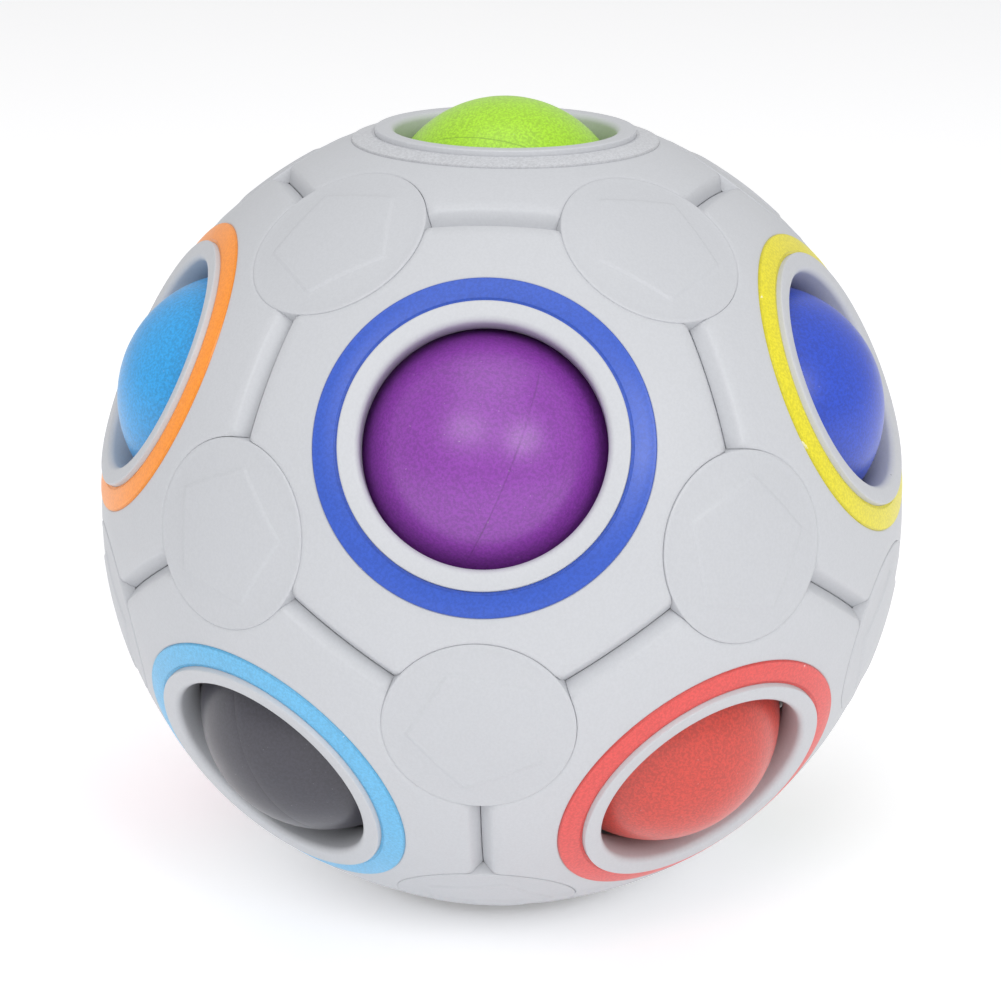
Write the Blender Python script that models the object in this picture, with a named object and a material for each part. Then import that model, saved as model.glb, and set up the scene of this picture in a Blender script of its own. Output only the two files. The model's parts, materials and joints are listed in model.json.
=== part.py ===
"""Rainbow puzzle ball: a hollow round shell with twelve holes, eleven loose coloured balls and a core.

The shell is twelve five-sided panels, one round each hole, held together at their corners by
twenty snap-in caps. A coloured ring sits in a groove round every hole. One hole is empty, so a
ball beside it can be pressed in onto the core, rolled under the shell and let out again there.

Metres, +Z up. The puzzle stands on the flat lip of its empty bottom hole: the origin is the
middle of that lip, and every piece is placed from the puzzle's centre straight above it.
"""
import math

import bmesh
import bpy
from mathutils import Matrix, Vector

# ---------------------------------------------------------------- driving dimensions (metres)
BALL_RADIUS = 0.01035       # a loose ball
BALL_GAP = 0.0010           # between neighbouring balls when all of them lie on the core
PASS_GAP = 0.0004           # between a ball on the core and the inside of the shell
CORE_GAP = 0.0003           # between the core and a ball that is pressed in
WALL = 0.0031               # shell thickness
RETAIN = 0.00115            # how much smaller than a ball's radius the bore is
SEAT_WIDTH = 0.00035        # the flared seat below the bore, measured outwards
SEAT_GAP = 0.0003           # between the seat and a ball that is fully out
LIP_WIDTH = 0.00136         # the collar between the bore and the ring groove
LIP_EDGE = 0.00015          # slope of the collar's outer side, measured outwards
LIP_FLAT = 0.0006           # the flat crest of the collar
LIP_RISE = 0.0001           # the crest above the shell's round surface
LIP_CHAMFER = 0.0006        # height of the slope from the bore to the crest
RING_WIDTH = 0.0019         # a coloured ring, from its inner to its outer edge
RING_DEPTH = 0.0013         # how deep a ring reaches below the shell's round surface
RING_SINK = 0.0001          # its inner edge below that surface
RING_RISE = 0.0002          # its crest, near its outer edge, above that surface
RING_EDGE = 0.0003          # bevel round its outer edge
RING_GAP = 0.0003           # round and under a ring in its groove
SEAM = 0.0003               # between neighbouring panels
VEE_WIDTH = 0.0018          # the V along the joint between two panels, across the top
VEE_DEPTH = 0.0010
CAP_WEB = 0.0014            # shell left between a ring groove and a cap's seat
CAP_GAP = 0.0003            # round and under a cap in its seat
CAP_THICKNESS = 0.0010
CAP_EDGE = 0.0003           # bevel round a cap's top edge
STEM_RADIUS = 0.0022        # the snap stem under a cap
BARB_OVERLAP = 0.0003       # how far the barb reaches past the edge of the stem's hole
BARB_GAP = 0.0004           # between the barb and the inside of the shell
BARB_LENGTH = 0.0010

PANEL_SEGMENTS = 20         # facets round a panel and a ring, a multiple of five
CAP_SEGMENTS = 12           # facets round a cap and its seat, a multiple of six
BALL_SEGMENTS = 16
BALL_RINGS = 8
VEE_SEGMENTS = 3            # facets along one groove
MARGIN = 0.002              # how far cutting shapes reach past what they cut

# ---------------------------------------------------------------- the twelve holes
HOLE_TILT = math.degrees(math.atan(2.0))     # between neighbouring hole axes of a dodecahedron
NEIGHBOUR = math.radians(HOLE_TILT)
HALF_NEIGHBOUR = NEIGHBOUR / 2               # from a hole's axis to the middle of a panel edge
CORNER = math.atan(math.tan(HALF_NEIGHBOUR) / math.cos(math.pi / 5))    # to a panel corner
HALF_EDGE = math.acos(math.cos(CORNER) / math.cos(HALF_NEIGHBOUR))      # half a panel edge

# name, tilt of the axis from +Z, its turn from -Y towards +X, ring colour, ball colour
HOLES = (
    ("top", 0.0, 0.0, "white", "lime"),
    ("front", HOLE_TILT, 0.0, "dark_blue", "purple"),
    ("right", HOLE_TILT, 72.0, "yellow", "dark_blue"),
    ("back_right", HOLE_TILT, 144.0, "purple", "orange"),
    ("back_left", HOLE_TILT, -144.0, "lime", "yellow"),
    ("left", HOLE_TILT, -72.0, "orange", "light_blue"),
    ("low_front_right", 180.0 - HOLE_TILT, 36.0, "red", "red"),
    ("low_right", 180.0 - HOLE_TILT, 108.0, "dark_green", "brown"),
    ("low_back", 180.0 - HOLE_TILT, 180.0, "pink", "dark_green"),
    ("low_left", 180.0 - HOLE_TILT, -108.0, "brown", "pink"),
    ("low_front_left", 180.0 - HOLE_TILT, -36.0, "light_blue", "dark_grey"),
    ("bottom", 180.0, 0.0, "dark_grey", None),
)
PRESSED_BALL = "low_back"   # this ball lies on the core, ready to roll to the empty bottom hole

# ---------------------------------------------------------------- sizes that follow
PRESSED_HEIGHT = (2 * BALL_RADIUS + BALL_GAP) / (2 * math.sin(HALF_NEIGHBOUR))
CORE_RADIUS = PRESSED_HEIGHT - BALL_RADIUS - CORE_GAP
INNER_RADIUS = PRESSED_HEIGHT + BALL_RADIUS + PASS_GAP
OUTER_RADIUS = INNER_RADIUS + WALL

BORE_RADIUS = BALL_RADIUS - RETAIN
SEAT_RADIUS = BORE_RADIUS + SEAT_WIDTH
LIP_RADIUS = BORE_RADIUS + LIP_WIDTH
RING_INNER = LIP_RADIUS + RING_GAP
RING_OUTER = RING_INNER + RING_WIDTH
GROOVE_RADIUS = RING_OUTER + RING_GAP

CAP_SEAT_ANGLE = CORNER - math.asin(GROOVE_RADIUS / OUTER_RADIUS) - CAP_WEB / OUTER_RADIUS
CAP_SEAT_RADIUS = OUTER_RADIUS * math.sin(CAP_SEAT_ANGLE)
CAP_RADIUS = CAP_SEAT_RADIUS - CAP_GAP
CAP_UNDERSIDE = OUTER_RADIUS - CAP_THICKNESS
STEM_HOLE = STEM_RADIUS + CAP_GAP


def height_on(radius, offset):
    """Height along an axis of the point of a sphere that lies offset away from that axis."""
    return math.sqrt(radius ** 2 - offset ** 2)


SEAT_REACH = BALL_RADIUS + SEAT_GAP
OUT_HEIGHT = height_on(INNER_RADIUS, SEAT_RADIUS) - height_on(SEAT_REACH, SEAT_RADIUS)
SEAT_TOP = OUT_HEIGHT + height_on(SEAT_REACH, BORE_RADIUS)
CREST_MIDDLE = LIP_RADIUS - LIP_EDGE - LIP_FLAT / 2
CREST_HEIGHT = height_on(OUTER_RADIUS, CREST_MIDDLE) + LIP_RISE
CENTRE = Vector((0.0, 0.0, CREST_HEIGHT))

# ---------------------------------------------------------------- colours (linear RGB)
SHELL_COLOUR = (0.68, 0.70, 0.73)
CORE_COLOUR = (0.62, 0.63, 0.65)
COLOURS = {
    "white": (0.74, 0.75, 0.77),
    "dark_blue": (0.055, 0.105, 0.56),
    "yellow": (0.80, 0.70, 0.035),
    "purple": (0.24, 0.04, 0.36),
    "lime": (0.40, 0.76, 0.03),
    "orange": (0.95, 0.24, 0.05),
    "red": (0.72, 0.09, 0.06),
    "dark_green": (0.02, 0.22, 0.06),
    "pink": (0.82, 0.15, 0.34),
    "brown": (0.16, 0.06, 0.025),
    "light_blue": (0.07, 0.40, 0.76),
    "dark_grey": (0.085, 0.085, 0.095),
}
SHELL_ROUGHNESS = 0.42
RING_ROUGHNESS = 0.38
BALL_ROUGHNESS = 0.35


def clear_scene():
    for item in list(bpy.data.objects):
        bpy.data.objects.remove(item, do_unlink=True)


# ---------------------------------------------------------------- materials
def plastic(name, colour, roughness):
    material = bpy.data.materials.new(name)
    material.use_nodes = True
    shader = material.node_tree.nodes["Principled BSDF"]
    shader.inputs["Base Color"].default_value = (*colour, 1.0)
    shader.inputs["Roughness"].default_value = roughness
    shader.inputs["Metallic"].default_value = 0.0
    return material


# ---------------------------------------------------------------- directions
def direction(tilt, turn):
    tilt = math.radians(tilt)
    turn = math.radians(turn)
    return Vector((math.sin(tilt) * math.sin(turn), -math.sin(tilt) * math.cos(turn), math.cos(tilt)))


def frame(axis, towards):
    """Rotation that takes +Z to axis and +X to the side on which towards lies."""
    side = (towards - axis * towards.dot(axis)).normalized()
    rotation = Matrix((side, axis.cross(side), axis)).transposed()
    return rotation.to_4x4()


def neighbours(axis, axes):
    limit = math.cos(NEIGHBOUR * 1.1)
    return [other for other in axes if other != axis and axis.dot(other) > limit]


def corner_directions(axes):
    """The twenty places where three panels meet, from the top down."""
    corners = []
    for first in range(len(axes)):
        for second in range(first + 1, len(axes)):
            for third in range(second + 1, len(axes)):
                trio = (axes[first], axes[second], axes[third])
                if all(neighbour in neighbours(trio[0], axes) for neighbour in trio[1:]):
                    if trio[2] in neighbours(trio[1], axes):
                        corners.append((sum(trio, Vector()).normalized(), trio[0]))
    return sorted(corners, key=lambda entry: (-round(entry[0].z, 3), math.atan2(entry[0].x, -entry[0].y)))


# ---------------------------------------------------------------- solids
def finish_mesh(name, bm, sharp=30.0):
    bmesh.ops.recalc_face_normals(bm, faces=bm.faces)
    mesh = bpy.data.meshes.new(name)
    bm.to_mesh(mesh)
    bm.free()
    mesh.shade_smooth()
    mesh.set_sharp_from_angle(angle=math.radians(sharp))
    return mesh


def add_turned(bm, profile, segments, place=Matrix.Identity(4)):
    """Turn a closed (radius, height) outline about +Z. A point on the axis becomes one vertex."""
    loops = []
    for radius, height in profile:
        if radius == 0.0:
            loops.append([bm.verts.new(place @ Vector((0.0, 0.0, height)))])
            continue
        loop = []
        for step in range(segments):
            angle = 2 * math.pi * step / segments
            point = Vector((radius * math.cos(angle), radius * math.sin(angle), height))
            loop.append(bm.verts.new(place @ point))
        loops.append(loop)
    for lower, upper in zip(loops, loops[1:] + loops[:1]):
        if len(lower) == 1 and len(upper) == 1:
            continue
        for step in range(segments):
            after = (step + 1) % segments
            corners = [lower[step % len(lower)], lower[after % len(lower)],
                       upper[after % len(upper)], upper[step % len(upper)]]
            bm.faces.new(list(dict.fromkeys(corners)))


def turned_mesh(name, profile, segments):
    bm = bmesh.new()
    add_turned(bm, profile, segments)
    return finish_mesh(name, bm)


def add_object(name, mesh, place):
    item = bpy.data.objects.new(name, mesh)
    item.matrix_world = place
    bpy.context.scene.collection.objects.link(item)
    return item


def add_cutter(name, bm):
    cutter = add_object(name, finish_mesh(name, bm), Matrix.Identity(4))
    cutter.hide_render = True
    cutter.display_type = "WIRE"
    return cutter


# ---------------------------------------------------------------- panel
def panel_profile():
    """Outline of a panel through its bore, before its five sides are cut."""
    groove_inside = height_on(OUTER_RADIUS, RING_INNER) - RING_DEPTH - RING_GAP
    groove_outside = height_on(OUTER_RADIUS, RING_OUTER) - RING_DEPTH - RING_GAP
    reach = CORNER + MARGIN / OUTER_RADIUS
    start = math.asin(GROOVE_RADIUS / OUTER_RADIUS)
    middle = (start + reach) / 2
    inside = (math.asin(SEAT_RADIUS / INNER_RADIUS) + reach) / 2
    return (
        (SEAT_RADIUS, height_on(INNER_RADIUS, SEAT_RADIUS)),
        (BORE_RADIUS, SEAT_TOP),
        (BORE_RADIUS, CREST_HEIGHT - LIP_CHAMFER),
        (CREST_MIDDLE - LIP_FLAT / 2, CREST_HEIGHT),
        (CREST_MIDDLE + LIP_FLAT / 2, CREST_HEIGHT),
        (LIP_RADIUS, groove_inside),
        (GROOVE_RADIUS, groove_outside),
        (GROOVE_RADIUS, height_on(OUTER_RADIUS, GROOVE_RADIUS)),
        (OUTER_RADIUS * math.sin(middle), OUTER_RADIUS * math.cos(middle)),
        (OUTER_RADIUS * math.sin(reach), OUTER_RADIUS * math.cos(reach)),
        (INNER_RADIUS * math.sin(reach), INNER_RADIUS * math.cos(reach)),
        (INNER_RADIUS * math.sin(inside), INNER_RADIUS * math.cos(inside)),
    )


def side_cutter():
    """Five-sided pyramid stump: its sides pass half a seam inside the planes through the centre."""
    bm = bmesh.new()
    rings = []
    for height in (INNER_RADIUS / 2, OUTER_RADIUS + MARGIN):
        inradius = height * math.tan(HALF_NEIGHBOUR) - SEAM / 2 / math.cos(HALF_NEIGHBOUR)
        reach = inradius / math.cos(math.pi / 5)
        angles = [math.pi / 5 * (2 * side + 1) for side in range(5)]
        rings.append([bm.verts.new((reach * math.cos(a), reach * math.sin(a), height)) for a in angles])
    bm.faces.new(rings[0])
    bm.faces.new(rings[1])
    for side in range(5):
        after = (side + 1) % 5
        bm.faces.new((rings[0][side], rings[0][after], rings[1][after], rings[1][side]))
    return add_cutter("side_cutter", bm)


def vee_cutter():
    """Wedges that follow the five panel edges round the ball, each as far as the cap seats."""
    bm = bmesh.new()
    tip = OUTER_RADIUS - VEE_DEPTH
    top = OUTER_RADIUS + MARGIN
    half_width = VEE_WIDTH / 2 * (top - tip) / VEE_DEPTH
    reach = HALF_EDGE - CAP_SEAT_ANGLE / 2
    for side in range(5):
        turn = Matrix.Rotation(side * 2 * math.pi / 5, 4, "Z") @ Matrix.Rotation(HALF_NEIGHBOUR, 4, "Y")
        slices = []
        for step in range(VEE_SEGMENTS + 1):
            swing = Matrix.Rotation(reach * (2 * step / VEE_SEGMENTS - 1), 4, "X")
            outline = ((0.0, 0.0, tip), (half_width, 0.0, top), (-half_width, 0.0, top))
            slices.append([bm.verts.new(turn @ swing @ Vector(point)) for point in outline])
        bm.faces.new(slices[0])
        bm.faces.new(slices[-1])
        for near, far in zip(slices, slices[1:]):
            for corner in range(3):
                after = (corner + 1) % 3
                bm.faces.new((near[corner], near[after], far[after], far[corner]))
    return add_cutter("vee_cutter", bm)


def cap_seat_cutter():
    """Round seats for the five caps, each with the hole for its stem."""
    floor = CAP_UNDERSIDE - CAP_GAP
    profile = (
        (0.0, INNER_RADIUS - MARGIN),
        (STEM_HOLE, INNER_RADIUS - MARGIN),
        (STEM_HOLE, height_on(floor, STEM_HOLE)),
        (CAP_SEAT_RADIUS, height_on(floor, CAP_SEAT_RADIUS)),
        (CAP_SEAT_RADIUS, OUTER_RADIUS + MARGIN),
        (0.0, OUTER_RADIUS + MARGIN),
    )
    bm = bmesh.new()
    for corner in range(5):
        turn = Matrix.Rotation(math.pi / 5 * (2 * corner + 1), 4, "Z") @ Matrix.Rotation(CORNER, 4, "Y")
        add_turned(bm, profile, CAP_SEGMENTS, turn)
    return add_cutter("cap_seat_cutter", bm)


def panel_mesh():
    blank = add_object("panel_blank", turned_mesh("panel_blank", panel_profile(), PANEL_SEGMENTS),
                       Matrix.Identity(4))
    cutters = (("INTERSECT", side_cutter()), ("DIFFERENCE", vee_cutter()), ("DIFFERENCE", cap_seat_cutter()))
    for operation, cutter in cutters:
        cut = blank.modifiers.new(cutter.name, "BOOLEAN")
        cut.operation = operation
        cut.solver = "MANIFOLD"     # the exact solver loses the panel at some wall and ring sizes
        cut.object = cutter
    bpy.context.view_layer.update()
    evaluated = blank.evaluated_get(bpy.context.evaluated_depsgraph_get())
    mesh = bpy.data.meshes.new_from_object(evaluated)
    mesh.name = "panel"
    mesh.shade_smooth()
    mesh.set_sharp_from_angle(angle=math.radians(30.0))
    bpy.data.objects.remove(blank, do_unlink=True)
    for _operation, cutter in cutters:
        bpy.data.objects.remove(cutter, do_unlink=True)
    return mesh


# ---------------------------------------------------------------- ring, cap, balls
def ring_mesh():
    crest_radius = RING_OUTER - RING_EDGE
    crest = height_on(OUTER_RADIUS, crest_radius) + RING_RISE
    profile = (
        (RING_INNER, height_on(OUTER_RADIUS, RING_INNER) - RING_DEPTH),
        (RING_OUTER, height_on(OUTER_RADIUS, RING_OUTER) - RING_DEPTH),
        (RING_OUTER, crest - RING_EDGE),
        (crest_radius, crest),
        (RING_INNER, height_on(OUTER_RADIUS, RING_INNER) - RING_SINK),
    )
    return turned_mesh("ring", profile, PANEL_SEGMENTS)


def cap_mesh():
    rim = CAP_RADIUS - CAP_EDGE
    barb_top = INNER_RADIUS - BARB_GAP
    profile = (
        (0.0, OUTER_RADIUS),
        (rim, height_on(OUTER_RADIUS, rim)),
        (CAP_RADIUS, height_on(OUTER_RADIUS, rim) - CAP_EDGE),
        (CAP_RADIUS, height_on(CAP_UNDERSIDE, CAP_RADIUS)),
        (STEM_RADIUS, height_on(CAP_UNDERSIDE, STEM_RADIUS)),
        (STEM_RADIUS, barb_top),
        (STEM_HOLE + BARB_OVERLAP, barb_top - BARB_GAP),
        (STEM_RADIUS - BARB_OVERLAP, barb_top - BARB_LENGTH),
        (0.0, barb_top - BARB_LENGTH),
    )
    return turned_mesh("cap", profile, CAP_SEGMENTS)


def ball_mesh(name, radius):
    profile = []
    for step in range(BALL_RINGS + 1):
        angle = math.pi * step / BALL_RINGS
        offset = radius * math.sin(angle) if 0 < step < BALL_RINGS else 0.0
        profile.append((offset, -radius * math.cos(angle)))
    return turned_mesh(name, profile, BALL_SEGMENTS)


# ---------------------------------------------------------------- assembly
def give_material(item, material):
    """Objects that share a mesh each keep a material of their own."""
    if not item.data.materials:
        item.data.materials.append(None)
    item.material_slots[0].link = "OBJECT"
    item.material_slots[0].material = material


def build():
    clear_scene()
    to_centre = Matrix.Translation(CENTRE)
    axes = [direction(tilt, turn) for _name, tilt, turn, _ring, _ball in HOLES]
    panel = panel_mesh()
    ring = ring_mesh()
    ball = ball_mesh("ball", BALL_RADIUS)
    cap = cap_mesh()

    for axis, (name, _tilt, _turn, ring_colour, ball_colour) in zip(axes, HOLES):
        place = to_centre @ frame(axis, neighbours(axis, axes)[0])
        shell = plastic("panel_" + name, SHELL_COLOUR, SHELL_ROUGHNESS)
        give_material(add_object("panel_" + name, panel, place), shell)
        tint = plastic("ring_" + name, COLOURS[ring_colour], RING_ROUGHNESS)
        give_material(add_object("ring_" + name, ring, place), tint)
        if ball_colour is not None:
            height = PRESSED_HEIGHT if name == PRESSED_BALL else OUT_HEIGHT
            shade = plastic("ball_" + name, COLOURS[ball_colour], BALL_ROUGHNESS)
            ball_place = place @ Matrix.Translation((0.0, 0.0, height))
            give_material(add_object("ball_" + name, ball, ball_place), shade)

    for number, (corner, nearest) in enumerate(corner_directions(axes), start=1):
        name = "cap_%02d" % number
        item = add_object(name, cap, to_centre @ frame(corner, nearest))
        give_material(item, plastic(name, SHELL_COLOUR, SHELL_ROUGHNESS))

    core = add_object("core", ball_mesh("core", CORE_RADIUS), to_centre)
    give_material(core, plastic("core", CORE_COLOUR, BALL_ROUGHNESS))


build()
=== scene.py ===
"""Looks of the puzzle ball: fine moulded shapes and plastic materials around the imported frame.

Every piece is placed from the frame. A hole's axis runs from the puzzle's centre through its
ring, a cap's axis through its cap, and sizes are read off the CAD nodes' own vertices.
"""
import json
import math

import bmesh
import bpy
from mathutils import Euler, Matrix, Vector


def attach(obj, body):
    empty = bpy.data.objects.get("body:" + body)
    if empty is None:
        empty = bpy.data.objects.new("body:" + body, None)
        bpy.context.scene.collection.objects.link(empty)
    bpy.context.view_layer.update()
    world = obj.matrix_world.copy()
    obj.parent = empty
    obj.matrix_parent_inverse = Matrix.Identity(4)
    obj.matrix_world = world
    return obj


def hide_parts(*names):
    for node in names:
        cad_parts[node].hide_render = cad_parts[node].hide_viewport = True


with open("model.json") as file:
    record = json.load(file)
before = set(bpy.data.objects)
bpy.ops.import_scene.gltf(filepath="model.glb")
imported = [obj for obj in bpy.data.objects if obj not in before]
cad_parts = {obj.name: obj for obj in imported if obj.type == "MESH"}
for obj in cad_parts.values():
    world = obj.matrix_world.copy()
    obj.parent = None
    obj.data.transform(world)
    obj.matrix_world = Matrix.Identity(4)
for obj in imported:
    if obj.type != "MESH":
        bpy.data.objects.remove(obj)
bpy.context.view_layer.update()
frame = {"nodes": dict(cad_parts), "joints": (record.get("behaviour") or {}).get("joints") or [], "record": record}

# ---------------------------------------------------------------- fine shapes (metres)
PANEL_SEAM = 0.00003        # between neighbouring panels
CAP_SEAM = 0.00002          # round a cap
RING_SEAM = 0.00001         # between a ring and the lip, and between a ring and the shell
SHELL_FILLET = 0.00012      # rounding of the shell's edge along a ring: its width
SHELL_FILLET_DROP = 0.00006     # and its depth
SEAT_FILLET = 0.00038       # rounding of the shell's edge along a cap: its width
SEAT_FILLET_DROP = 0.00012      # and its depth
VEE_WIDTH = 0.0019          # the groove along a joint, across the top
VEE_DEPTH = 0.0011
VEE_SOFTNESS = 0.00018      # how softly the groove's shoulders turn
LIP_ROLL = 0.00050          # how far the lip rolls inwards into the bore
LIP_DROP = 0.00055          # and downwards
LIP_FILLET = 0.00014        # rounding of the lip's outer edge
RING_BEVEL = 0.00026        # the narrow bevel along a ring's inner edge: its width
RING_BEVEL_DROP = 0.00012       # and its depth
RING_CREASE = 0.00004       # softens the turn from the bevel to the band: its width
RING_CREASE_DROP = 0.00003      # and its depth
RING_BAND_DROP = 0.00002    # a ring's band below the shell's sphere at its inner side
RING_BAND_RISE = 0.00012    # and above it at its outer side
RING_SHOULDER = 0.00010     # the rounding along its outer edge
RING_FOOT = 0.00006         # bevel along both edges of a ring's underside
RING_FOOT_RISE = 0.0003     # how far the inner one reaches up
CAP_FILLET = 0.00042        # rounding of a cap's edge: its width
CAP_FILLET_DROP = 0.00014       # and its depth
PENTAGON = 0.0055           # from a cap's middle to a corner of its pentagon
PENTAGON_STEP = 0.00011     # how far the pentagon stands up
PENTAGON_SLOPE = 0.00020    # the slope round it, in width
SLOPE_TURN = 0.07           # share of the step that is taken up in rounding each end of the slope
BARB_BELOW = 0.0004         # from the shell's inside to the top of a stem's barb
BARB_SLOPE = 0.0004         # height of the barb's upper side
SEAM_WIDTH = 0.00010        # from the middle of a ball's parting line to each side of it
SEAM_DEPTH = 0.00001
GATE_OUT = (0.10, 0.9948)   # radius and height of a ball's gate mark at its edge, in ball radii
GATE_IN = (0.095, 0.990)    # and of the mark's floor

EDGE_STEPS = 8              # rays along half of a panel's edge, between cap and middle
CAP_STEPS = 12              # rays along half of a panel's share of a cap seat
CAP_CROWDING = 1.35         # above 1, these rays lie closer together towards the seat's ends
SETTLE_STEPS = 6            # tries at finding where a wall meets the surface
WALL_ROWS = 3               # rows of points down a wall, from the surface to a cap seat's floor
FLOOR_ROWS = 3              # along the floor
STEM_ROWS = 2               # and down the stem's hole
INSIDE_ROWS = 6             # along the shell's inside
EVEN_ROWS = 6               # on the surface, between the closer rows at its two ends
RING_STEPS = 180            # round a ring
BAND_ROWS = 9               # across its band
CAP_AROUND = 120            # a multiple of five, so that the pentagon's corners are kept
LIP_ROLL_STEPS = 8
LIP_FILLET_STEPS = 4
SHOULDER_STEPS = 5
CAP_FILLET_STEPS = 8
BALL_AROUND = 96
BALL_ROWS = 48
# how far rows of the surface lie from the ring's groove, and from the panel's edge
START_STEPS = (0.0, 0.00003, 0.00007, 0.00012, 0.00018, 0.0003)
END_STEPS = (0.00105, 0.0009, 0.00075, 0.0006, 0.00046, 0.00033, 0.00022, 0.00014, 0.00007, 0.00003, 0.0)
# rows across a pentagon, in shares of the way to its slope, and from there to the cap's rounding
PENTAGON_ROWS = (0.0, 0.25, 0.5, 0.75, 0.92)
CAP_ROWS = (0.35, 0.7, 1.0)
MERGE_DISTANCE = 1e-6
SHARP_ANGLE = 38.0          # degrees, above which an edge is shaded as sharp
AT_BORE = 1.001             # a vertex within this share of the bore's radius lies on the bore
AT_RIM = 0.99               # and one beyond this share of a cap's radius lies on its rim

# ---------------------------------------------------------------- sizes read off the frame
NODES = frame["nodes"]
CENTRE = Vector(next(j for j in frame["joints"] if j["name"] == "core_turn")["pos_m"])
PLACES = [name[len("ring_"):] for name in NODES if name.startswith("ring_")]
CAPS = sorted(name for name in NODES if name.startswith("cap_"))
BALLS = [place for place in PLACES if "ball_" + place in NODES]


def middle(name):
    points = [vertex.co for vertex in NODES[name].data.vertices]
    return sum(points, Vector()) / len(points)


def axis_of(name):
    return (middle(name) - CENTRE).normalized()


def outline(name, axis):
    """Distance from the axis and height along it, from the puzzle's centre, of each vertex."""
    found = []
    for vertex in NODES[name].data.vertices:
        arm = vertex.co - CENTRE
        height = arm.dot(axis)
        found.append((math.sqrt(max(arm.length_squared - height * height, 0.0)), height))
    return found


AXES = {place: axis_of("ring_" + place) for place in PLACES}
CAP_AXES = {name: axis_of(name) for name in CAPS}
TOP = max(PLACES, key=lambda place: AXES[place].z)

panel_points = outline("panel_" + TOP, AXES[TOP])
ring_points = outline("ring_" + TOP, AXES[TOP])
cap_points = outline(CAPS[0], CAP_AXES[CAPS[0]])

BORE = min(radius for radius, _height in panel_points)
CREST = max(height for _radius, height in panel_points)
RING_IN = min(radius for radius, _height in ring_points)
RING_OUT = max(radius for radius, _height in ring_points)
RING_BASE = min(height for _radius, height in ring_points)
SEAT, SEAT_LOW = min((p for p in panel_points if p[0] < RING_IN), key=lambda point: point[1])
SEAT_TOP = min(height for radius, height in panel_points if radius < BORE * AT_BORE)
INNER = math.hypot(SEAT, SEAT_LOW)
OUTER = max(height for _radius, height in cap_points)
CAP_OUT = max(radius for radius, _height in cap_points)
CAP_UNDER = min(math.hypot(*point) for point in cap_points if point[0] > CAP_OUT * AT_RIM)
STEM_TIP = min(height for _radius, height in cap_points)
STEM_RADII = sorted({round(radius, 5) for radius, _height in cap_points if radius < CAP_OUT / 2})
# Where the cap's mesh is uneven round its axis, all three come out near the tip's radius.
TIP_RADIUS, STEM_RADIUS, BARB_RADIUS = STEM_RADII[1:4]
BALL_RADIUS = (NODES["ball_" + TOP].data.vertices[0].co - middle("ball_" + TOP)).length
CORE_RADIUS = (NODES["core"].data.vertices[0].co - CENTRE).length

FIFTH_TURN = 2 * math.pi / 5
HALF_NEIGHBOUR = math.atan(2.0) / 2         # half the angle between two neighbouring holes
CORNER = math.atan(math.tan(HALF_NEIGHBOUR) / math.cos(FIFTH_TURN / 2))     # from a hole to a cap

LIP_OUT = RING_IN - RING_SEAM * 2
RING_GROOVE = RING_OUT + RING_SEAM
GROOVE_FLOOR = RING_BASE - RING_SEAM * 3
CAP_SEAT = CAP_OUT + CAP_SEAM
CAP_FLOOR = CAP_UNDER - CAP_SEAM
STEM_HOLE = STEM_RADIUS + CAP_SEAM * 3

# ---------------------------------------------------------------- colours (linear RGB)
SHELL = (0.520, 0.531, 0.557)
CAP = (0.508, 0.519, 0.545)
CORE = (0.60, 0.61, 0.63)
RING_COLOURS = {
    "ring_white": (0.53, 0.54, 0.567),
    "ring_dark_blue": (0.030, 0.090, 0.48),
    "ring_yellow": (0.72, 0.64, 0.015),
    "ring_purple": (0.25, 0.045, 0.38),
    "ring_lime": (0.42, 0.78, 0.04),
    "ring_orange": (0.97, 0.29, 0.020),
    "ring_red": (0.67, 0.075, 0.068),
    "ring_dark_green": (0.025, 0.24, 0.07),
    "ring_pink": (0.85, 0.17, 0.36),
    "ring_brown": (0.18, 0.07, 0.03),
    "ring_light_blue": (0.125, 0.44, 0.72),
    "ring_dark_grey": (0.10, 0.10, 0.11),
}
BALL_COLOURS = {
    "ball_lime": (0.34, 0.64, 0.008),
    "ball_purple": (0.215, 0.030, 0.330),
    "ball_dark_blue": (0.012, 0.056, 0.48),
    "ball_orange": (0.92, 0.25, 0.04),
    "ball_yellow": (0.84, 0.66, 0.03),
    "ball_light_blue": (0.016, 0.31, 0.69),
    "ball_red": (0.53, 0.040, 0.024),
    "ball_brown": (0.17, 0.06, 0.025),
    "ball_dark_green": (0.02, 0.22, 0.06),
    "ball_pink": (0.82, 0.16, 0.36),
    "ball_dark_grey": (0.032, 0.030, 0.044),
}
# How each ball happens to lie, in degrees: the pole that carries its gate mark is tilted from the
# hole's axis, and turned from upwards. At a tilt of 180 the parting line and the mark are hidden.
BALL_LIES = {
    "top": (-17, 51), "front": (-108, 105), "right": (0, 180), "back_right": (120, 50),
    "back_left": (200, 65), "left": (0, 180), "low_front_right": (0, 180), "low_right": (30, 40),
    "low_back": (0, 70), "low_left": (150, 55), "low_front_left": (105, 80),
}
# How far the pentagon on a cap is turned from upwards, in degrees. The other caps turn by CAP_TURN
# times their own number.
CAP_TURNS = {"cap_02": 43, "cap_03": 26, "cap_07": 59, "cap_08": 61, "cap_13": 24}
CAP_TURN = 47
CAP_SHIFTS = {"cap_08": Vector((0.00006, 0.0, 0.0))}    # it sits a little to one side in its seat
UPWARDS = Vector((0.0, 0.05, 1.0))      # leans back a little, so that it works for an upright axis too
# numbers that make the materials' patterns differ from piece to piece
RING_SEED = 20
CAP_SEED = 40
BALL_SEED = 70
CORE_SEED = 90

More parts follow.
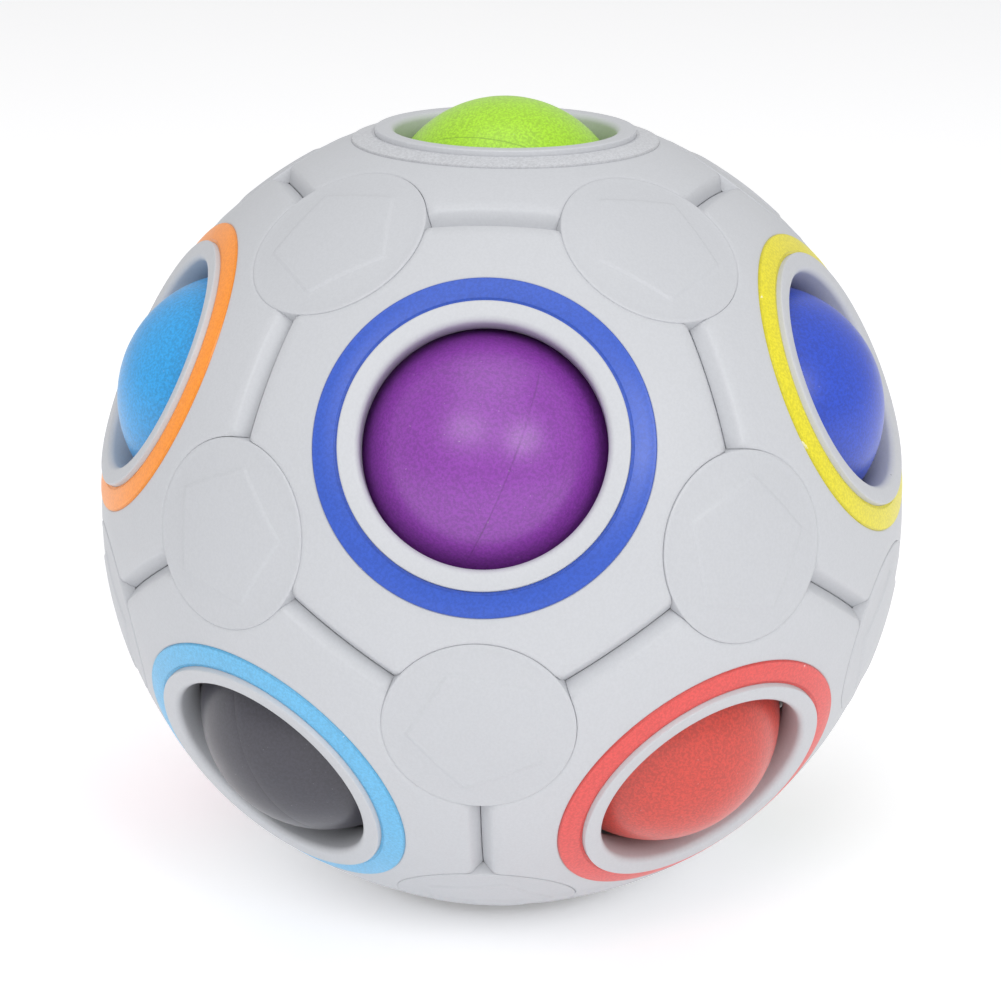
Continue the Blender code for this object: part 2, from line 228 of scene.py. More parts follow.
# ---------------------------------------------------------------- camera, light and floor
CAMERA_OFFSET = Vector((0.009213, -0.192906, 0.066434))     # from the puzzle's centre
CAMERA_TURN = (71.104, -0.513, 2.949)       # degrees
CAMERA_LENS = 83.97                         # mm
CAMERA_SENSOR = 36.0                        # mm
CAMERA_NEAREST = 0.01
FLOOR_SIZE = 6.0
FLOOR_CORNERS = ((-1, -1), (1, -1), (1, 1), (-1, 1))
FLOOR_COLOUR = (0.93, 0.93, 0.94, 1.0)
FLOOR_ROUGHNESS = 0.9
FLOOR_SPECULAR = 0.1
FLOOR_GLOW = 0.26
WHITE = (1.0, 1.0, 1.0, 1.0)
WORLD_LIGHT = 0.62
# name, place from the puzzle's centre, width and height, power in watts
SOFTBOXES = (
    ("softbox_top", (0.0, -0.10, 0.70), (0.60, 0.60), 1.1),
    ("softbox_left", (-0.14, -0.41, 0.38), (0.30, 0.20), 0.70),
    ("softbox_right", (0.28, -0.40, 0.32), (0.24, 0.18), 0.80),
)


def add_camera():
    data = bpy.data.cameras.new("camera")
    data.lens = CAMERA_LENS
    data.sensor_width = CAMERA_SENSOR
    data.clip_start = CAMERA_NEAREST
    camera = bpy.data.objects.new("camera", data)
    camera.location = CENTRE + CAMERA_OFFSET
    camera.rotation_euler = Euler([math.radians(angle) for angle in CAMERA_TURN], "XYZ")
    bpy.context.scene.collection.objects.link(camera)
    bpy.context.scene.camera = camera


def add_softbox(name, place, size, power):
    data = bpy.data.lights.new(name, "AREA")
    data.shape = "RECTANGLE"
    data.size, data.size_y = size
    data.energy = power
    light = bpy.data.objects.new(name, data)
    light.location = CENTRE + Vector(place)
    light.rotation_euler = (CENTRE - light.location).to_track_quat("-Z", "Y").to_euler()
    bpy.context.scene.collection.objects.link(light)


def add_studio():
    world = bpy.data.worlds.new("studio")
    world.use_nodes = True
    background = world.node_tree.nodes["Background"]
    background.inputs["Color"].default_value = WHITE
    background.inputs["Strength"].default_value = WORLD_LIGHT
    bpy.context.scene.world = world
    bpy.context.scene.view_settings.view_transform = "Standard"
    for name, place, size, power in SOFTBOXES:
        add_softbox(name, place, size, power)


def add_floor():
    bm = bmesh.new()
    half = FLOOR_SIZE / 2
    bm.faces.new([bm.verts.new((x * half, y * half, 0.0)) for x, y in FLOOR_CORNERS])
    mesh = bpy.data.meshes.new("floor")
    bm.to_mesh(mesh)
    bm.free()
    floor = bpy.data.objects.new("floor", mesh)
    bpy.context.scene.collection.objects.link(floor)
    material = bpy.data.materials.new("floor")
    material.use_nodes = True
    shader = material.node_tree.nodes["Principled BSDF"]
    shader.inputs["Base Color"].default_value = FLOOR_COLOUR
    shader.inputs["Roughness"].default_value = FLOOR_ROUGHNESS
    shader.inputs["Specular IOR Level"].default_value = FLOOR_SPECULAR
    shader.inputs["Emission Color"].default_value = WHITE
    shader.inputs["Emission Strength"].default_value = FLOOR_GLOW
    mesh.materials.append(material)


# ---------------------------------------------------------------- materials
OWN_PLACE = "own_place"     # attribute: a point's place on its own piece, +Z along the piece's axis
SEED_SHIFT = (0.137, 0.211, 0.173)

# Each noise: its cells per metre, its octaves, and how strong each finer octave is.
FLOW = (90.0, 3.0, 0.5)         # flow marks
GRAIN = (4500.0, 2.0, 0.7)      # fine grain
PATCHES = (320.0, 3.0, 0.5)     # patches with more and less gloss
UNEVEN = (240.0, 2.0, 0.5)      # gentle unevenness of the surface
NICKS = (900.0, 3.0, 0.65)      # pale nicks on a ring's rim
WEAR = (150.0, 1.0, 0.5)        # where on the rim they lie
DUST = (3600.0, 2.0, 0.6)       # dust on a ball
FADE = (130.0, 1.0, 0.5)        # where the painted shade along a ball's parting line fades

# Each range: where a noise starts to show, and where it shows in full.
FLOW_RANGE = (0.3, 0.7)
GRAIN_RANGE = (0.36, 0.64)
NICK_RANGE = (0.665, 0.70)
WEAR_RANGE = (0.52, 0.62)
DUST_RANGE = (0.725, 0.76)
FADE_RANGE = (0.38, 0.60)

GRAIN_CONTRAST = 2.4
GRAIN_SHARE = 0.5
GRAIN_BUMP = (0.000004, 0.5)    # height in metres, and strength
UNEVEN_BUMP = (0.00006, 0.12)
ROUGHNESS_SPREAD = 0.14
SPECK_SCALE = 260.0
SPECK_SIZE = 0.040
SPECK_SHARE = 0.55
SPECK_COLOUR = (0.10, 0.09, 0.09)

WORN_RIM = (0.00030, 0.00008)   # from a ring's outer edge: where its wear starts, and where it is full
# painted shade: a darker line along a ring's outer edge, where it rounds down into the shell's groove; from the
# edge, where it starts and where it is full, then how much and how dark
PAINTED_RIM_SHADE = (0.00012, 0.00002)
PAINTED_RIM_SHADE_SHARE = 0.30
PAINTED_RIM_SHADE_FACTOR = 0.45
WORN_PALE = (0.35, 0.60)        # how much of the colour is kept, and how much white is added

BALL_SPECULAR = 0.75
BALL_SHEEN = 0.07
BALL_SHEEN_ROUGHNESS = 0.25
SWIRL_SCALE = 55.0
SWIRL_DISTORTION = 6.0
SWIRL_DETAIL = 2.0
SWIRL_SHARE = 0.10
SWIRL_SHADE = 1.18
DUST_SHARE = 0.5
DUST_PALE = (0.6, 0.26)
LINE_EDGE = (0.3, 0.9)          # where the painted shade along the parting line fades sideways, in shares of SEAM_WIDTH
# how much painted shade darkens the parting line, and how dark it makes the colour
PAINTED_SEAM_SHADE_SHARE = 0.5
PAINTED_SEAM_SHADE = 0.35


class Nodes:
    """A material's node tree, with short ways to add nodes to it."""

    def __init__(self, material):
        self.tree = material.node_tree
        self.shader = self.tree.nodes["Principled BSDF"]

    def add(self, kind, **values):
        node = self.tree.nodes.new(kind)
        for name, value in values.items():
            setattr(node, name, value)
        return node

    def join(self, source, target):
        self.tree.links.new(source, target)

    def value(self, operation, *entries):
        node = self.add("ShaderNodeMath", operation=operation)
        for socket, entry in zip(node.inputs, entries):
            if isinstance(entry, (int, float)):
                socket.default_value = entry
            else:
                self.join(entry, socket)
        return node.outputs[0]

    def noise(self, place, scale, detail, roughness):
        node = self.add("ShaderNodeTexNoise")
        node.inputs["Scale"].default_value = scale
        node.inputs["Detail"].default_value = detail
        node.inputs["Roughness"].default_value = roughness
        self.join(place, node.inputs["Vector"])
        return node.outputs["Fac"]

    def ramp(self, value, low, high):
        """0 below low, 1 above high, and a smooth rise between."""
        node = self.add("ShaderNodeMapRange", interpolation_type="SMOOTHSTEP")
        node.inputs["From Min"].default_value = low
        node.inputs["From Max"].default_value = high
        self.join(value, node.inputs["Value"])
        return node.outputs["Result"]

    def mix(self, share, first, second):
        node = self.add("ShaderNodeMix", data_type="RGBA")
        if isinstance(share, (int, float)):
            node.inputs["Factor"].default_value = share
        else:
            self.join(share, node.inputs["Factor"])
        for name, entry in (("A", first), ("B", second)):
            socket = next(s for s in node.inputs if s.name == name and s.type == "RGBA")
            if isinstance(entry, tuple):
                socket.default_value = (*entry, 1.0)
            else:
                self.join(entry, socket)
        return next(s for s in node.outputs if s.type == "RGBA")

    def bump(self, height, distance, strength, before=None):
        node = self.add("ShaderNodeBump")
        node.inputs["Distance"].default_value = distance
        node.inputs["Strength"].default_value = strength
        self.join(height, node.inputs["Height"])
        if before is not None:
            self.join(before, node.inputs["Normal"])
        return node.outputs["Normal"]

    def place(self, seed):
        """The piece's own coordinates, and the same moved by the seed, so that no two pieces look alike."""
        coordinates = self.add("ShaderNodeAttribute", attribute_name=OWN_PLACE).outputs["Vector"]
        mapping = self.add("ShaderNodeMapping")
        mapping.inputs["Location"].default_value = [seed * shift for shift in SEED_SHIFT]
        self.join(coordinates, mapping.inputs["Vector"])
        return coordinates, mapping.outputs["Vector"]


def shade(colour, factor):
    return tuple(min(channel * factor, 1.0) for channel in colour)


def paled(colour, keep, white):
    return tuple(keep * channel + white for channel in colour)


def moulded(name, colour, seed, roughness, grain, mottle, specks=0.0):
    """Satin moulded plastic: faint flow marks, a fine grain in colour and gloss, a few specks."""
    material = bpy.data.materials.new(name)
    material.use_nodes = True
    nodes = Nodes(material)
    own, place = nodes.place(seed)
    flow = nodes.ramp(nodes.noise(place, *FLOW), *FLOW_RANGE)
    fine = nodes.noise(place, *GRAIN)
    base = nodes.mix(flow, shade(colour, 1 - mottle), shade(colour, 1 + mottle))
    spread = GRAIN_CONTRAST * grain
    speckle = nodes.mix(nodes.ramp(fine, *GRAIN_RANGE), shade(colour, 1 - spread), shade(colour, 1 + spread))
    base = nodes.mix(GRAIN_SHARE, base, speckle)
    if specks:
        dots = nodes.add("ShaderNodeTexVoronoi")
        dots.inputs["Scale"].default_value = SPECK_SCALE
        nodes.join(place, dots.inputs["Vector"])
        cell = nodes.add("ShaderNodeSeparateColor")
        nodes.join(dots.outputs["Color"], cell.inputs["Color"])
        rare = nodes.value("GREATER_THAN", cell.outputs[0], 1 - specks)
        dot = nodes.value("MULTIPLY", nodes.value("LESS_THAN", dots.outputs["Distance"], SPECK_SIZE), rare)
        base = nodes.mix(nodes.value("MULTIPLY", dot, SPECK_SHARE), base, SPECK_COLOUR)
    nodes.join(base, nodes.shader.inputs["Base Color"])
    patch = nodes.noise(place, *PATCHES)
    gloss = nodes.value("MULTIPLY_ADD", patch, ROUGHNESS_SPREAD, roughness - ROUGHNESS_SPREAD / 2)
    nodes.join(gloss, nodes.shader.inputs["Roughness"])
    soft = nodes.bump(nodes.noise(place, *UNEVEN), *UNEVEN_BUMP)
    nodes.join(nodes.bump(fine, *GRAIN_BUMP, soft), nodes.shader.inputs["Normal"])
    return material, nodes, own, place, base


def shell_material(name, colour, seed):
    return moulded(name, colour, seed, roughness=0.46, grain=0.016, mottle=0.012, specks=0.012)[0]


def ring_material(name, colour, seed):
    """A ring's plastic, with pale nicks near its outer edge and painted shade in a darker line along it."""
    material, nodes, own, place, base = moulded(name, colour, seed, roughness=0.34, grain=0.08, mottle=0.035)
    split = nodes.add("ShaderNodeSeparateXYZ")
    nodes.join(own, split.inputs[0])
    flat = nodes.add("ShaderNodeCombineXYZ")
    nodes.join(split.outputs["X"], flat.inputs["X"])
    nodes.join(split.outputs["Y"], flat.inputs["Y"])
    length = nodes.add("ShaderNodeVectorMath", operation="LENGTH")
    nodes.join(flat.outputs[0], length.inputs[0])
    radius = length.outputs["Value"]
    rim = nodes.ramp(radius, *(RING_OUT - inset for inset in WORN_RIM))
    nick = nodes.ramp(nodes.noise(place, *NICKS), *NICK_RANGE)
    wear = nodes.ramp(nodes.noise(place, *WEAR), *WEAR_RANGE)
    worn = nodes.value("MULTIPLY", nodes.value("MULTIPLY", rim, nick), wear)
    # painted shade: darkens the colour along the ring's outer edge, where it turns down into the groove
    dark = nodes.ramp(radius, *(RING_OUT - inset for inset in PAINTED_RIM_SHADE))
    base = nodes.mix(nodes.value("MULTIPLY", dark, PAINTED_RIM_SHADE_SHARE), base, shade(colour, PAINTED_RIM_SHADE_FACTOR))
    base = nodes.mix(worn, base, paled(colour, *WORN_PALE))
    nodes.join(base, nodes.shader.inputs["Base Color"])
    return material


def ball_material(name, colour, seed):
    """A ball's plastic: a lively grain, faint swirls, dust, and painted shade darkening its parting line, with
    gaps.
    """
    material, nodes, own, place, base = moulded(name, colour, seed, roughness=0.36, grain=0.14, mottle=0.02)
    nodes.shader.inputs["Specular IOR Level"].default_value = BALL_SPECULAR
    nodes.shader.inputs["Sheen Weight"].default_value = BALL_SHEEN
    nodes.shader.inputs["Sheen Roughness"].default_value = BALL_SHEEN_ROUGHNESS
    swirl = nodes.add("ShaderNodeTexWave", wave_type="RINGS")
    swirl.inputs["Scale"].default_value = SWIRL_SCALE
    swirl.inputs["Distortion"].default_value = SWIRL_DISTORTION
    swirl.inputs["Detail"].default_value = SWIRL_DETAIL
    nodes.join(place, swirl.inputs["Vector"])
    swirled = nodes.value("MULTIPLY", swirl.outputs["Fac"], SWIRL_SHARE)
    base = nodes.mix(swirled, base, shade(colour, SWIRL_SHADE))
    dust = nodes.ramp(nodes.noise(place, *DUST), *DUST_RANGE)
    base = nodes.mix(nodes.value("MULTIPLY", dust, DUST_SHARE), base, paled(colour, *DUST_PALE))
    # painted shade: the parting line's shallow crease is darkened in colour, with gaps where it fades
    split = nodes.add("ShaderNodeSeparateXYZ")
    nodes.join(own, split.inputs[0])
    away = nodes.value("ABSOLUTE", split.outputs["Z"])
    line = nodes.value("SUBTRACT", 1.0, nodes.ramp(away, *(SEAM_WIDTH * share for share in LINE_EDGE)))
    fade = nodes.ramp(nodes.noise(place, *FADE), *FADE_RANGE)
    painted_seam_shade = nodes.value("MULTIPLY", nodes.value("MULTIPLY", line, fade), PAINTED_SEAM_SHADE_SHARE)
    base = nodes.mix(painted_seam_shade, base, shade(colour, PAINTED_SEAM_SHADE))
    nodes.join(base, nodes.shader.inputs["Base Color"])
    return material


# ---------------------------------------------------------------- shared mesh code
def finish_mesh(name, points, faces):
    mesh = bpy.data.meshes.new(name)
    mesh.from_pydata([tuple(point) for point in points], [], faces)
    bm = bmesh.new()
    bm.from_mesh(mesh)
    bmesh.ops.remove_doubles(bm, verts=bm.verts, dist=MERGE_DISTANCE)
    bmesh.ops.recalc_face_normals(bm, faces=bm.faces)
    bm.to_mesh(mesh)
    bm.free()
    mesh.shade_smooth()
    mesh.set_sharp_from_angle(angle=math.radians(SHARP_ANGLE))
    return mesh


def closed_grid(loops):
    """Points and faces of a grid that closes on itself both ways."""
    points = [point for loop in loops for point in loop]
    rows = len(loops[0])
    faces = []
    for loop in range(len(loops)):
        here = loop * rows
        after = (loop + 1) % len(loops) * rows
        for row in range(rows):
            below = (row + 1) % rows
            faces.append((here + row, after + row, after + below, here + below))
    return points, faces


def turned_mesh(name, profile, steps):
    """Turn an outline of (radius, height) about +Z. It closes on itself, or on the axis."""
    loops = []
    for step in range(steps):
        angle = 2 * math.pi * step / steps
        loops.append([Vector((r * math.cos(angle), r * math.sin(angle), h)) for r, h in profile])
    points, faces = closed_grid(loops)
    return finish_mesh(name, points, faces)


def arc(centre, size, start, end, steps):
    """Points of an elliptical arc in (radius, height), angles in degrees from +radius."""
    found = []
    for step in range(steps + 1):
        angle = math.radians(start + (end - start) * step / steps)
        found.append((centre[0] + size[0] * math.cos(angle), centre[1] + size[1] * math.sin(angle)))
    return found


def turned_frame(axis, towards):
    side = (towards - axis * towards.dot(axis)).normalized()
    return Matrix.Translation(CENTRE) @ Matrix((side, axis.cross(side), axis)).transposed().to_4x4()


def hole_frame(place):
    """Puts +Z along a hole's axis and +X towards a neighbouring hole."""
    axis = AXES[place]
    nearest = max((other for other in PLACES if other != place), key=lambda other: AXES[other].dot(axis))
    return turned_frame(axis, AXES[nearest])


def add_piece(name, mesh, where, material, body, slot, *nodes):
    """Put a mesh, drawn about its own +Z axis, in its place as a piece that replaces CAD nodes."""
    mesh.materials.append(material)
    own = mesh.attributes.new(OWN_PLACE, "FLOAT_VECTOR", "POINT")
    for point, vertex in zip(own.data, mesh.vertices):
        point.vector = vertex.co
    mesh.transform(where)
    piece = bpy.data.objects.new(name, mesh)
    bpy.context.scene.collection.objects.link(piece)
    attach(piece, body)
    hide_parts(*nodes)


# ---------------------------------------------------------------- panel
SIDE_MIDDLE = Vector((math.sin(HALF_NEIGHBOUR), 0.0, math.cos(HALF_NEIGHBOUR)))
SIDE_ALONG = Vector((0.0, 1.0, 0.0))
SIDE_OUT = Vector((math.cos(HALF_NEIGHBOUR), 0.0, -math.sin(HALF_NEIGHBOUR)))
SPIN = [Matrix.Rotation(FIFTH_TURN * side, 3, "Z") for side in range(5)]
HALF_SPIN = Matrix.Rotation(FIFTH_TURN / 2, 3, "Z")
CORNER_AXIS = HALF_SPIN @ Vector((math.sin(CORNER), 0.0, math.cos(CORNER)))
CORNER_IN = HALF_SPIN @ Vector((-math.cos(CORNER), 0.0, math.sin(CORNER)))
CORNER_SIDE = HALF_SPIN @ Vector((0.0, -1.0, 0.0))
SIDES_OUT = [spin @ SIDE_OUT for spin in SPIN]
CORNERS = [spin @ CORNER_AXIS for spin in SPIN]
HALF_SEAM = PANEL_SEAM / 2


def soft_above(value, softness):
    """The value where it is well above nothing, 0 where it is well below, and a smooth turn between."""
    if value <= -softness:
        return 0.0
    if value >= softness:
        return value
    return (value + softness) ** 2 / (4 * softness)


def fillet_drop(distance, width, depth):
    """How far an edge rounded by a quarter ellipse lies below the surface, at a distance from it."""
    if distance >= width:
        return 0.0
    return depth * (1 - math.sqrt(1 - (1 - max(distance, 0.0) / width) ** 2))


def surface_drop(way):
    """How far the shell's surface lies below its sphere, in the direction way from the centre."""
    point = way * OUTER
    edge = min(-point.dot(out) for out in SIDES_OUT)
    half = VEE_WIDTH / 2
    drop = VEE_DEPTH / half * soft_above(half - edge, VEE_SOFTNESS)
    for corner in CORNERS:
        along = point.dot(corner)
        if along > 0:
            from_seat = (point - corner * along).length - CAP_SEAT
            drop += fillet_drop(from_seat, SEAT_FILLET, SEAT_FILLET_DROP)
    from_groove = math.hypot(point.x, point.y) - RING_GROOVE
    return drop + fillet_drop(from_groove, SHELL_FILLET, SHELL_FILLET_DROP)


def seat_angle(radius):
    """How far a panel reaches round a corner from its middle, where three panels share one turn."""
    return math.pi / 3 - math.asin(HALF_SEAM / radius)


def side_point(along, reach):
    """On the panel's first side, at an angle along it from its middle and a distance from the centre."""
    flat = math.sqrt(reach ** 2 - HALF_SEAM ** 2)
    return (SIDE_MIDDLE * math.cos(along) + SIDE_ALONG * math.sin(along)) * flat - SIDE_OUT * HALF_SEAM


def corner_point(share, radius, reach):
    """Round the first corner, at a radius from its axis. Share -1 to 1 runs from side to side."""
    angle = share * seat_angle(radius)
    across = (CORNER_IN * math.cos(angle) + CORNER_SIDE * math.sin(angle)) * radius
    return across + CORNER_AXIS * math.sqrt(reach ** 2 - radius ** 2)


def settle(point_at):
    """The point of a wall that meets the shell's surface, found by stepping down to it."""
    reach = OUTER
    for _step in range(SETTLE_STEPS):
        reach = OUTER - surface_drop(point_at(reach).normalized())
    return point_at(reach), reach


LAST_ALONG = math.atan2(corner_point(1.0, CAP_SEAT, OUTER).dot(SIDE_ALONG),
                        corner_point(1.0, CAP_SEAT, OUTER).dot(SIDE_MIDDLE))


def spaced(start, end, count):
    """Even steps from start to end, without start itself."""
    return [start + (end - start) * step / count for step in range(1, count + 1)]


def wall_below(reach):
    """Distances from the centre down a wall, past a cap seat's floor and on to the shell's inside."""
    return spaced(reach, CAP_FLOOR, WALL_ROWS) + spaced(CAP_FLOOR, INNER, FLOOR_ROWS + STEM_ROWS)


def side_ray(along):
    """From the surface down the panel's side to its inside."""
    top, reach = settle(lambda distance: side_point(along, distance))
    return top, [side_point(along, distance) for distance in wall_below(reach)]


def joint_ray(share):
    """The same at the cap seat's end, straight down the seat's wall."""
    top, reach = settle(lambda distance: corner_point(share, CAP_SEAT, distance))
    return top, [corner_point(share, CAP_SEAT, distance) for distance in wall_below(reach)]


def seat_ray(share):
    """From the surface down into a cap's seat, along its floor and down the stem's hole."""
    top, reach = settle(lambda distance: corner_point(share, CAP_SEAT, distance))
    rows = [corner_point(share, CAP_SEAT, distance) for distance in spaced(reach, CAP_FLOOR, WALL_ROWS)]
    rows += [corner_point(share, radius, CAP_FLOOR) for radius in spaced(CAP_SEAT, STEM_HOLE, FLOOR_ROWS)]
    rows += [corner_point(share, STEM_HOLE, distance) for distance in spaced(CAP_FLOOR, INNER, STEM_ROWS)]
    return top, rows


def lip_profile():
    """From the seat under the bore, up the bore, over the lip and down to the ring's groove."""
    crest_in = BORE + LIP_ROLL
    crest_out = LIP_OUT - LIP_FILLET
    rows = [(SEAT, SEAT_LOW), (BORE, SEAT_TOP)]
    rows += arc((crest_in, CREST - LIP_DROP), (LIP_ROLL, LIP_DROP), 180, 90, LIP_ROLL_STEPS)
    rows += arc((crest_out, CREST - LIP_FILLET), (LIP_FILLET, LIP_FILLET), 90, 0, LIP_FILLET_STEPS)
    rows += [(LIP_OUT, GROOVE_FLOOR), (RING_GROOVE, GROOVE_FLOOR)]
    return rows


def surface_rows(turn, top):
    """Along the shell's surface from the ring's groove, at angle turn, to the point top."""
    start = math.asin(RING_GROOVE / OUTER)
    end = math.acos(top.normalized().z)
    end_turn = math.atan2(top.y, top.x)
    length = (end - start) * OUTER
    first = START_STEPS[-1]
    last = length - END_STEPS[0]
    places = [*START_STEPS, *spaced(first, last, EVEN_ROWS)[:-1]]
    places += [length - step for step in END_STEPS[:-1]]
    rows = []
    for place in places:
        share = place / length
        bent = turn + (end_turn - turn) * share * share * (3 - 2 * share)
        tilt = start + place / OUTER
        way = Vector((math.sin(tilt) * math.cos(bent), math.sin(tilt) * math.sin(bent), math.cos(tilt)))
        rows.append(way * (OUTER - surface_drop(way)))
    return rows + [top]


def inside_rows(low, turn):
    """Along the inside of the shell from the point low back to the bore's seat."""
    goal = Vector((SEAT * math.cos(turn), SEAT * math.sin(turn), SEAT_LOW)).normalized()
    start = low.normalized()
    rows = []
    for step in range(1, INSIDE_ROWS):
        way = start.slerp(goal, step / INSIDE_ROWS)
        rows.append(way * INNER)
    return rows


def panel_rays():
    """A fifth of the panel: each ray's angle at the ring, its top point and its points down the wall."""
    joint = FIFTH_TURN / 2 * EDGE_STEPS / (EDGE_STEPS + CAP_STEPS)
    rays = []
    for step in range(EDGE_STEPS):
        rays.append((joint * step / EDGE_STEPS, *side_ray(LAST_ALONG * step / EDGE_STEPS)))
    rays.append((joint, *joint_ray(1.0)))
    for step in range(2 * CAP_STEPS + 1):
        share = 1 - step / CAP_STEPS
        spread = math.copysign(1 - (1 - abs(share)) ** CAP_CROWDING, share)
        turn = joint + (FIFTH_TURN - 2 * joint) * step / (2 * CAP_STEPS)
        rays.append((turn, *seat_ray(spread)))
    rays.append((FIFTH_TURN - joint, *joint_ray(-1.0)))
    for step in range(EDGE_STEPS - 1, 0, -1):
        top, rows = side_ray(-LAST_ALONG * step / EDGE_STEPS)
        turn = FIFTH_TURN - joint * step / EDGE_STEPS
        rays.append((turn, SPIN[1] @ top, [SPIN[1] @ row for row in rows]))
    return rays


def panel_mesh():
    lip = lip_profile()
    fifth = []
    for turn, top, rows in panel_rays():
        loop = surface_rows(turn, top) + rows + inside_rows(rows[-1], turn)
        loop += [Vector((r * math.cos(turn), r * math.sin(turn), h)) for r, h in lip]
        fifth.append(loop)
    loops = [[spin @ point for point in loop] for spin in SPIN for loop in fifth]
    points, faces = closed_grid(loops)
    return finish_mesh("panel", points, faces)


# ---------------------------------------------------------------- ring
def on_sphere(radius):
    """Height of the shell's sphere along an axis, at a distance from that axis."""
    return math.sqrt(OUTER ** 2 - radius ** 2)


def ring_mesh():
    """A band that follows the shell's sphere, with a narrow bevel inside and a crisp edge outside."""
    band_in = RING_IN + RING_BEVEL
    band_out = RING_OUT - RING_SHOULDER
    profile = [(RING_IN, RING_BASE + RING_FOOT_RISE)]
    profile.append((RING_IN, on_sphere(RING_IN) - RING_BAND_DROP - RING_BEVEL_DROP))
    profile.append((band_in - RING_CREASE, on_sphere(band_in) - RING_BAND_DROP - RING_CREASE_DROP))
    for step in range(BAND_ROWS + 1):
        share = step / BAND_ROWS
        radius = band_in + (band_out - band_in) * share
        lift = (RING_BAND_RISE + RING_BAND_DROP) * math.sin(share * math.pi / 2) - RING_BAND_DROP
        profile.append((radius, on_sphere(radius) + lift))
    top = on_sphere(band_out) + RING_BAND_RISE
    shoulder = (RING_SHOULDER, RING_SHOULDER)
    profile += arc((band_out, top - RING_SHOULDER), shoulder, 90, 0, SHOULDER_STEPS)[1:]
    profile += [(RING_OUT, RING_BASE + RING_FOOT), (RING_OUT - RING_FOOT, RING_BASE)]
    profile += [(RING_IN + RING_FOOT, RING_BASE)]
    return turned_mesh("ring", profile, RING_STEPS)


# ---------------------------------------------------------------- cap
def pentagon_radius(angle, corner):
    """From a pentagon's middle to its edge, at an angle from its first corner."""
    half = FIFTH_TURN / 2
    from_corner = abs((angle + half) % FIFTH_TURN - half)
    return corner * math.cos(half) / math.cos(half - from_corner)


def cap_mesh(name, turn):
    """A domed disc with a rounded edge, a faint raised pentagon, and its snap stem below."""
    rim = CAP_OUT - CAP_FILLET
    fillet = (CAP_FILLET, CAP_FILLET_DROP)
    edge = arc((rim, on_sphere(rim) - CAP_FILLET_DROP), fillet, 90, 0, CAP_FILLET_STEPS)[1:]
    barb_top = INNER - BARB_BELOW
    under = [(radius, math.sqrt(CAP_UNDER ** 2 - radius ** 2)) for radius in (CAP_OUT, STEM_RADIUS)]
    under += [(STEM_RADIUS, barb_top), (BARB_RADIUS, barb_top - BARB_SLOPE)]
    under += [(TIP_RADIUS, STEM_TIP), (0.0, STEM_TIP)]
    loops = []
    for step in range(CAP_AROUND):
        angle = 2 * math.pi * step / CAP_AROUND
        side = pentagon_radius(angle, PENTAGON)
        low = side - PENTAGON_SLOPE / 2
        high = side + PENTAGON_SLOPE / 2
        rows = [(low * share, PENTAGON_STEP) for share in PENTAGON_ROWS]
        rows += [(low - PENTAGON_SLOPE / 3, PENTAGON_STEP), (low, PENTAGON_STEP * (1 - SLOPE_TURN))]
        rows += [(high, PENTAGON_STEP * SLOPE_TURN), (high + PENTAGON_SLOPE / 3, 0.0)]
        rows += [(high + (rim - high) * share, 0.0) for share in CAP_ROWS]
        profile = [(radius, on_sphere(radius) + rise) for radius, rise in rows]
        spun = angle + turn
        loops.append([Vector((r * math.cos(spun), r * math.sin(spun), h)) for r, h in profile + edge + under])
    points, faces = closed_grid(loops)
    return finish_mesh(name, points, faces)


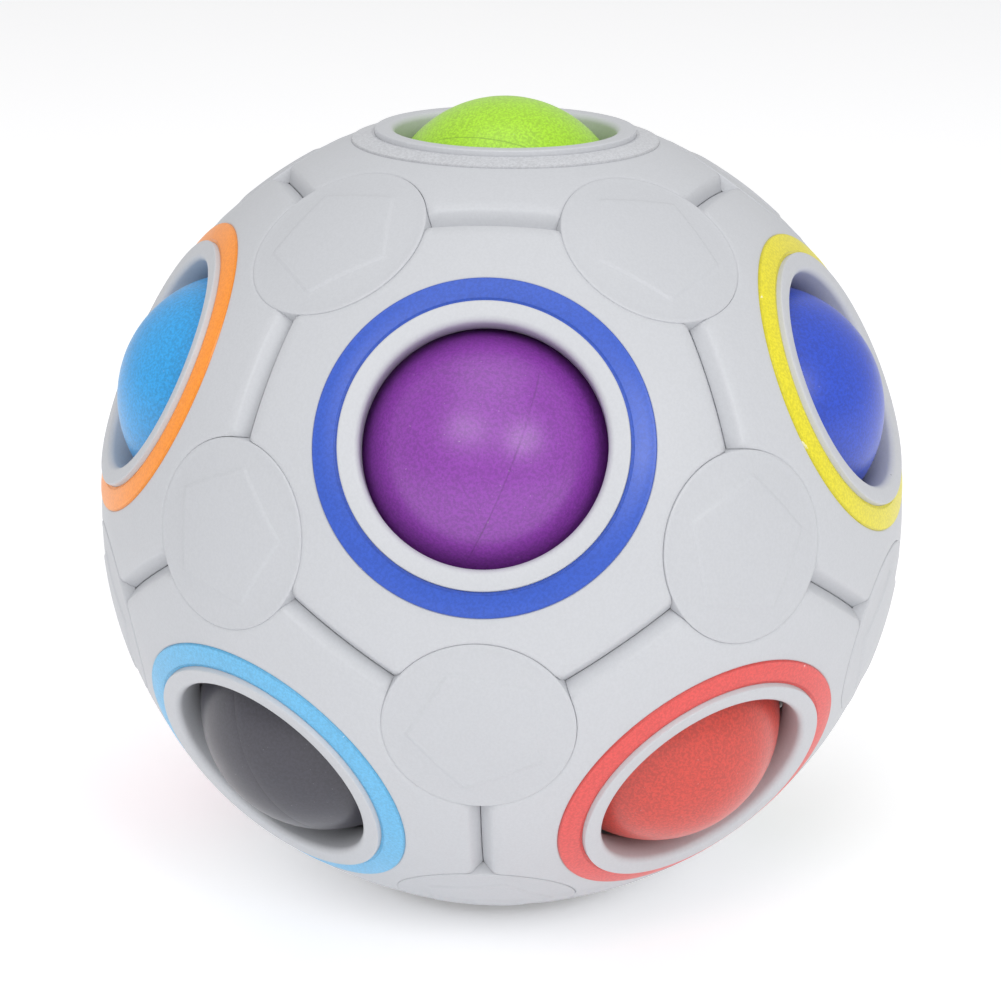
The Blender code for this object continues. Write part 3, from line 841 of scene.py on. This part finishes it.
# ---------------------------------------------------------------- balls
def ball_mesh(name, radius):
    """A ball with a fine parting line round its middle and a small gate mark at one pole."""
    profile = [(0.0, -radius)]
    angles = [180.0 * row / BALL_ROWS - 90.0 for row in range(1, BALL_ROWS)]
    line = math.degrees(SEAM_WIDTH / radius)
    angles = [angle for angle in angles if abs(angle) > line * 2]
    angles += [line * share for share in (-1, -0.5, 0, 0.5, 1)]
    for angle in sorted(angles):
        dip = SEAM_DEPTH * max(0.0, 1 - abs(angle) / line)
        reach = radius - dip
        profile.append((reach * math.cos(math.radians(angle)), reach * math.sin(math.radians(angle))))
    profile += [(radius * out, radius * up) for out, up in (GATE_OUT, GATE_IN, (0.0, GATE_IN[1]))]
    return turned_mesh(name, profile, BALL_AROUND)


def ball_turn(place):
    """Turns a ball in its hole to lie as it happened to roll."""
    turn, tilt = BALL_LIES[place]
    return Matrix.Rotation(math.radians(turn), 4, "Z") @ Matrix.Rotation(math.radians(tilt), 4, "Y")


# ---------------------------------------------------------------- the puzzle
def slot_of(node):
    return next(part["material_slot"] for part in frame["record"]["subparts"] if part["node"] == node)


def add_panels_and_rings():
    panel = panel_mesh()
    ring = ring_mesh()
    for seed, place in enumerate(PLACES, start=1):
        where = hole_frame(place)
        node = "panel_" + place
        material = shell_material(node, SHELL, seed)
        add_piece("fine_" + node, panel.copy(), where, material, "shell", slot_of(node), node)
        node = "ring_" + place
        material = ring_material(node, RING_COLOURS[slot_of(node)], seed + RING_SEED)
        add_piece("fine_" + node, ring.copy(), where, material, "shell", slot_of(node), node)


def add_caps():
    for seed, name in enumerate(CAPS, start=1):
        mesh = cap_mesh(name, math.radians(CAP_TURNS.get(name, CAP_TURN * seed)))
        shift = Matrix.Translation(CAP_SHIFTS.get(name, Vector()))
        where = shift @ turned_frame(CAP_AXES[name], UPWARDS)
        material = shell_material(name, CAP, seed + CAP_SEED)
        add_piece("fine_" + name, mesh, where, material, "shell", slot_of(name), name)


def add_balls_and_core():
    for seed, place in enumerate(BALLS, start=1):
        node = "ball_" + place
        where = turned_frame(AXES[place], UPWARDS) @ ball_turn(place)
        where = Matrix.Translation(middle(node) - CENTRE) @ where
        material = ball_material(node, BALL_COLOURS[slot_of(node)], seed + BALL_SEED)
        mesh = ball_mesh(node, BALL_RADIUS)
        add_piece("fine_" + node, mesh, where, material, node, slot_of(node), node)
    core = ball_mesh("core", CORE_RADIUS)
    material = ball_material("core", CORE, CORE_SEED)
    add_piece("fine_core", core, Matrix.Translation(CENTRE), material, "core", slot_of("core"), "core")


add_camera()
add_studio()
add_floor()
add_panels_and_rings()
add_caps()
add_balls_and_core()
